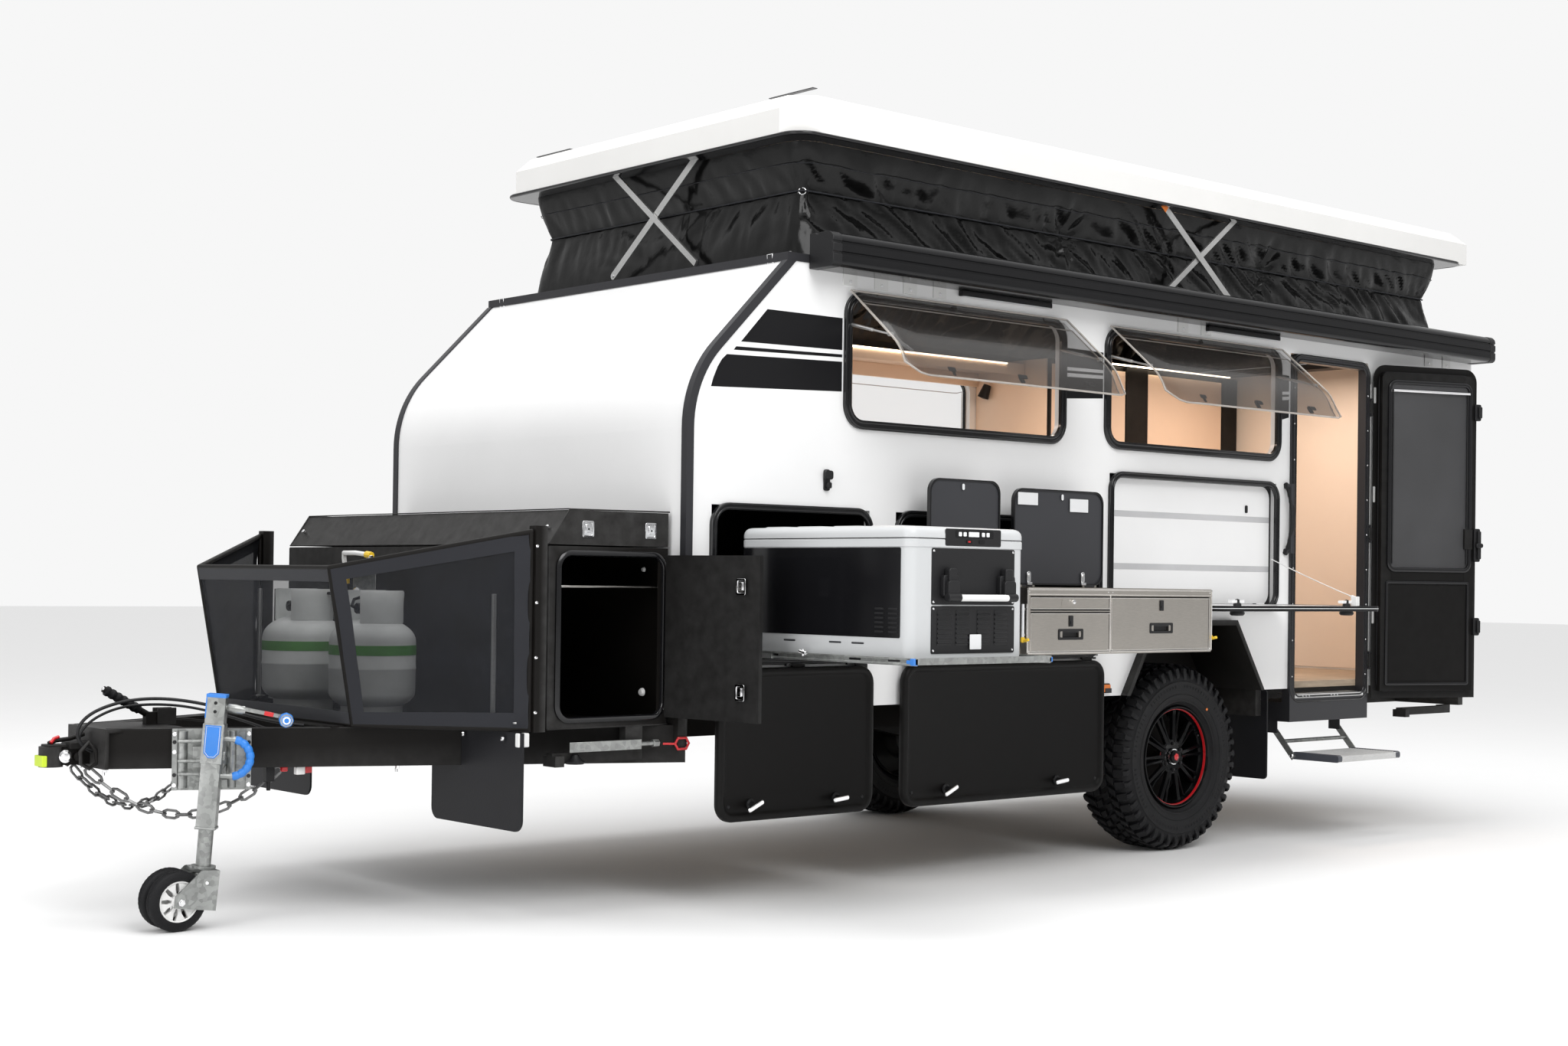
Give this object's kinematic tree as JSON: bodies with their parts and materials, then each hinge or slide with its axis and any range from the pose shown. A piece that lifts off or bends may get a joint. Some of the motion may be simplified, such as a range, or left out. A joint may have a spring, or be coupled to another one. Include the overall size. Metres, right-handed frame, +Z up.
{
  "type": "pop-top camper trailer",
  "caption": "Single-axle off-road camper trailer with a raised pop-top roof, slide-out kitchen and fridge, front box, stone guard, jockey wheel, fold-down table and entry step.",
  "frame": {"origin": "centre of the coupling's pin bore at its lower mouth, on the trailer's centreline, 0.51 m above the ground", "axes": "+X rearward along the trailer, +Y to the off side, away from the entry door, +Z up"},
  "size_m": [6.902, 2.947, 2.965],
  "materials": {
    "chassis_paint": "satin",
    "coupling_paint": "satin",
    "zinc": "galvanised",
    "small_tyre": "matte",
    "white_panel": "gloss",
    "black_trim": "satin",
    "acrylic": "tinted",
    "black_door": "gloss",
    "black_panel": "textured",
    "bench_board": "matte",
    "wood": "satin",
    "fridge_shell": "satin",
    "stainless": "brushed",
    "dark_lid": "satin",
    "mesh": "woven",
    "bottle_paint": "gloss",
    "flap_rubber": "matte",
    "tyre": "matte",
    "black_rim": "satin",
    "vinyl": "matte",
    "aluminium": "brushed",
    "awning_vinyl": "satin"
  },
  "bodies": {
    "trailer": {"chassis": "chassis_paint", "coupling": "coupling_paint", "handbrake": "zinc", "jockey_bracket": "zinc", "stabiliser_legs": "zinc", "safety_chains": "zinc", "side_wall_kerb": "white_panel", "side_wall_off": "white_panel", "front_wall": "white_panel", "rear_wall": "white_panel", "floor": "white_panel", "body_trims": "black_trim", "wheel_arches": "black_trim", "window_frames": "black_trim", "window_panes": "acrylic", "door_frame": "black_trim", "hatch_frames": "black_trim", "storage": "bench_board", "interior_bench": "wood", "front_box": "black_panel", "guard_frame": "zinc", "guard_mesh": "mesh", "gas_bottles": "bottle_paint", "mudflaps": "flap_rubber", "suspension": "chassis_paint", "tent_skirt": "vinyl", "awning": "awning_vinyl"},
    "wheel_kerb": {"tyre_kerb": "tyre", "wheel_kerb": "black_rim"},
    "wheel_off": {"tyre_off": "tyre", "wheel_off": "black_rim"},
    "fridge": {"fridge_slide": "zinc", "fridge_tub": "fridge_shell"},
    "kitchen": {"kitchen_unit": "stainless"},
    "jockey_column": {"jockey_column": "zinc"},
    "jockey_leg": {"jockey_leg": "zinc"},
    "jockey_fork": {"jockey_fork": "zinc"},
    "jockey_wheels": {"jockey_wheels": "small_tyre"},
    "entry_door": {"entry_door": "black_door"},
    "box_door": {"box_door": "black_panel"},
    "box_lid": {"box_lid": "black_panel"},
    "fridge_hatch": {"fridge_hatch": "black_panel"},
    "kitchen_hatch": {"kitchen_hatch": "black_panel"},
    "table": {"table": "white_panel"},
    "roof": {"roof": "white_panel"},
    "ends_low_bars": {"ends_low_bars": "aluminium"},
    "ends_high_bars": {"ends_high_bars": "aluminium"},
    "sides_low_bars": {"sides_low_bars": "aluminium"},
    "sides_high_bars": {"sides_high_bars": "aluminium"},
    "fridge_rails": {"fridge_rails": "zinc"},
    "fridge_lid": {"fridge_lid": "fridge_shell"},
    "kitchen_rails": {"kitchen_rails": "zinc"},
    "drawer_top": {"drawer_top": "stainless"},
    "drawer_low": {"drawer_low": "stainless"},
    "drawer_wide": {"drawer_wide": "stainless"},
    "kitchen_lid_small": {"kitchen_lid_small": "dark_lid"},
    "kitchen_lid_large": {"kitchen_lid_large": "dark_lid"},
    "step_arms": {"step_arms": "zinc"},
    "step_tread": {"step_tread": "aluminium"}
  },
  "joints": [
    {"name": "wheel_kerb_spin", "type": "hinge", "parent": "trailer", "child": "wheel_kerb", "pos_m": [4.567, -0.8475, -0.108], "axis": [0, 1, 0], "continuous": true},
    {"name": "wheel_off_spin", "type": "hinge", "parent": "trailer", "child": "wheel_off", "pos_m": [4.567, 0.8475, -0.108], "axis": [0, 1, 0], "continuous": true},
    {"name": "jockey_swing", "type": "hinge", "parent": "trailer", "child": "jockey_column", "pos_m": [0.386, -0.357, 0.02], "axis": [-0.5736, -0.8192, 0], "range_deg": [0, 90]},
    {"name": "jockey_lift", "type": "slide", "parent": "jockey_column", "child": "jockey_leg", "axis": [0.0571, -0.04, 0.9976], "range_m": [0, 0.11]},
    {"name": "jockey_swivel", "type": "hinge", "parent": "jockey_leg", "child": "jockey_fork", "pos_m": [0.386, -0.357, 0.02], "axis": [0.0571, -0.04, 0.9976], "continuous": true},
    {"name": "jockey_spin", "type": "hinge", "parent": "jockey_fork", "child": "jockey_wheels", "pos_m": [0.26617, -0.33961, -0.41084], "axis": [0.0011, 0.9992, 0.04], "continuous": true},
    {"name": "entry_door_hinge", "type": "hinge", "parent": "trailer", "child": "entry_door", "pos_m": [5.945, -1.002, 0.89], "axis": [0, 0, -1], "range_deg": [-8, 160]},
    {"name": "box_door_hinge", "type": "hinge", "parent": "trailer", "child": "box_door", "pos_m": [1.794, -0.922, 0.435], "axis": [0, 0, -1], "range_deg": [0, 98]},
    {"name": "box_lid_hinge", "type": "hinge", "parent": "trailer", "child": "box_lid", "pos_m": [1.818, 0, 0.861], "axis": [0, -1, 0], "range_deg": [-75, 0]},
    {"name": "fridge_hatch_hinge", "type": "hinge", "parent": "trailer", "child": "fridge_hatch", "pos_m": [2.32, -0.996, 0.33], "axis": [-1, 0, 0], "range_deg": [0, 80]},
    {"name": "kitchen_hatch_hinge", "type": "hinge", "parent": "trailer", "child": "kitchen_hatch", "pos_m": [3.43, -0.996, 0.33], "axis": [-1, 0, 0], "range_deg": [0, 80]},
    {"name": "table_hinge", "type": "hinge", "parent": "trailer", "child": "table", "pos_m": [4.65, -0.996, 0.554], "axis": [-1, 0, 0], "range_deg": [0, 90]},
    {"name": "roof_lift", "type": "slide", "parent": "trailer", "child": "roof", "axis": [0, 0, -1], "range_m": [0, 0.43], "deforming": ["tent_skirt"]},
    {"name": "ends_low_swing", "type": "hinge", "parent": "trailer", "child": "ends_low_bars", "pos_m": [4.53, -0.32, 1.862], "axis": [-1, 0, 0], "range_deg": [0, 38.24]},
    {"name": "ends_high_swing", "type": "hinge", "parent": "roof", "child": "ends_high_bars", "pos_m": [4.53, 0.22, 2.28], "axis": [1, 0, 0], "range_deg": [-38.24, 0]},
    {"name": "sides_low_swing", "type": "hinge", "parent": "trailer", "child": "sides_low_bars", "pos_m": [4.44, 0, 1.862], "axis": [0, 1, 0], "range_deg": [0, 38.24]},
    {"name": "sides_high_swing", "type": "hinge", "parent": "roof", "child": "sides_high_bars", "pos_m": [4.98, 0, 2.28], "axis": [0, 1, 0], "range_deg": [0, 38.24]},
    {"name": "fridge_slide_out", "type": "slide", "parent": "trailer", "child": "fridge", "axis": [0, 1, 0], "range_m": [0, 0.95]},
    {"name": "fridge_rails_out", "type": "slide", "parent": "trailer", "child": "fridge_rails", "axis": [0, 1, 0], "range_m": [0, 0.475]},
    {"name": "fridge_lid_hinge", "type": "hinge", "parent": "fridge", "child": "fridge_lid", "pos_m": [2.579, -1.455, 0.781], "axis": [0, -1, 0], "range_deg": [-85, 0]},
    {"name": "kitchen_slide_out", "type": "slide", "parent": "trailer", "child": "kitchen", "axis": [0, 1, 0], "range_m": [0, 0.095]},
    {"name": "kitchen_rails_out", "type": "slide", "parent": "trailer", "child": "kitchen_rails", "axis": [0, 1, 0], "range_m": [0, 0.0475]},
    {"name": "drawer_top_slide", "type": "slide", "parent": "kitchen", "child": "drawer_top", "axis": [0, 1, 0], "range_m": [-0.3, 0]},
    {"name": "drawer_low_slide", "type": "slide", "parent": "kitchen", "child": "drawer_low", "axis": [0, 1, 0], "range_m": [-0.3, 0]},
    {"name": "drawer_wide_slide", "type": "slide", "parent": "kitchen", "child": "drawer_wide", "axis": [0, 1, 0], "range_m": [-0.3, 0]},
    {"name": "kitchen_lid_small_hinge", "type": "hinge", "parent": "kitchen", "child": "kitchen_lid_small", "pos_m": [3.08, -1.105, 0.626], "axis": [1, 0, 0], "range_deg": [0, 90]},
    {"name": "kitchen_lid_large_hinge", "type": "hinge", "parent": "kitchen", "child": "kitchen_lid_large", "pos_m": [3.615, -1.105, 0.626], "axis": [1, 0, 0], "range_deg": [0, 90]},
    {"name": "step_fold", "type": "hinge", "parent": "trailer", "child": "step_arms", "pos_m": [5.65, -0.85, -0.015], "axis": [1, 0, 0], "range_deg": [0, 95]},
    {"name": "step_level", "type": "hinge", "parent": "step_arms", "child": "step_tread", "pos_m": [5.65, -0.95891, -0.14028], "axis": [1, 0, 0], "range_deg": [-95, 0]}
  ],
  "couplings": [
    {"joint": "ends_low_swing", "follows": "roof_lift", "rad_per_m": 1.5319},
    {"joint": "ends_high_swing", "follows": "roof_lift", "rad_per_m": -1.5319},
    {"joint": "sides_low_swing", "follows": "roof_lift", "rad_per_m": 1.5319},
    {"joint": "sides_high_swing", "follows": "roof_lift", "rad_per_m": 1.5319},
    {"joint": "fridge_rails_out", "follows": "fridge_slide_out", "ratio": 0.5},
    {"joint": "kitchen_rails_out", "follows": "kitchen_slide_out", "ratio": 0.5},
    {"joint": "step_level", "follows": "step_fold", "ratio": -1}
  ]
}
